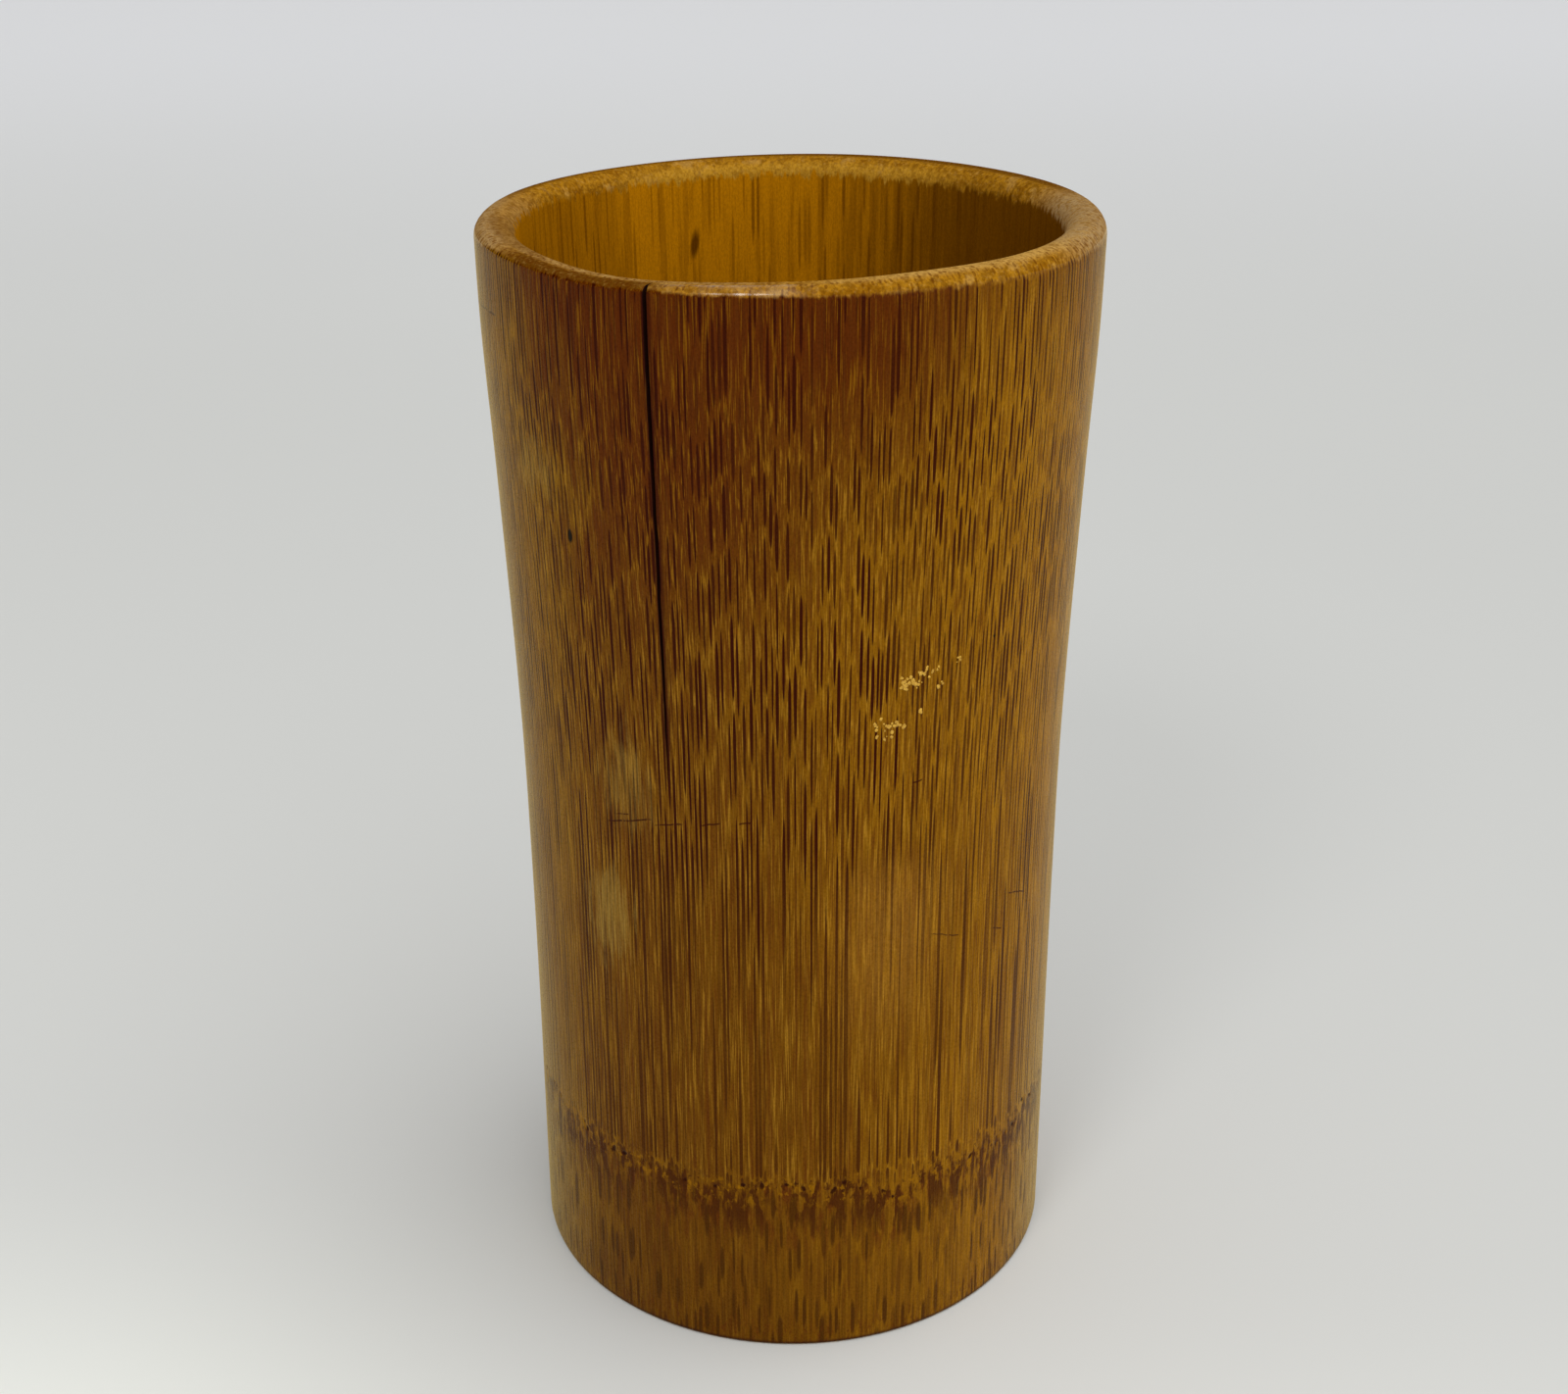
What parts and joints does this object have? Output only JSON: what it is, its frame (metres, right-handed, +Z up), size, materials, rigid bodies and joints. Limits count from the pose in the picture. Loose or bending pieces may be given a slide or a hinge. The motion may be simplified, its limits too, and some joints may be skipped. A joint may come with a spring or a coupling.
{
  "type": "bamboo cup",
  "caption": "Tall handleless cup turned from thick bamboo culm, with a rounded lip, a slight flare, a septum floor above a hollow foot, for drinks or for brushes and pens.",
  "frame": {"origin": "middle of the ring that the cup stands on, at the level of the table", "axes": "+Z up along the culm towards the open rim, -Y towards the front of the cup, where the viewer of the picture stands, +X to that viewer's right"},
  "size_m": [0.086, 0.086, 0.1642],
  "materials": {
    "turned_bamboo": "satin oil or varnish over sanded bamboo, with dark vertical fibre streaks",
    "bare_septum": "unpolished, papery bamboo septum"
  },
  "bodies": {
    "root": {"culm_wall": "turned_bamboo", "node_floor": "bare_septum"}
  },
  "joints": []
}
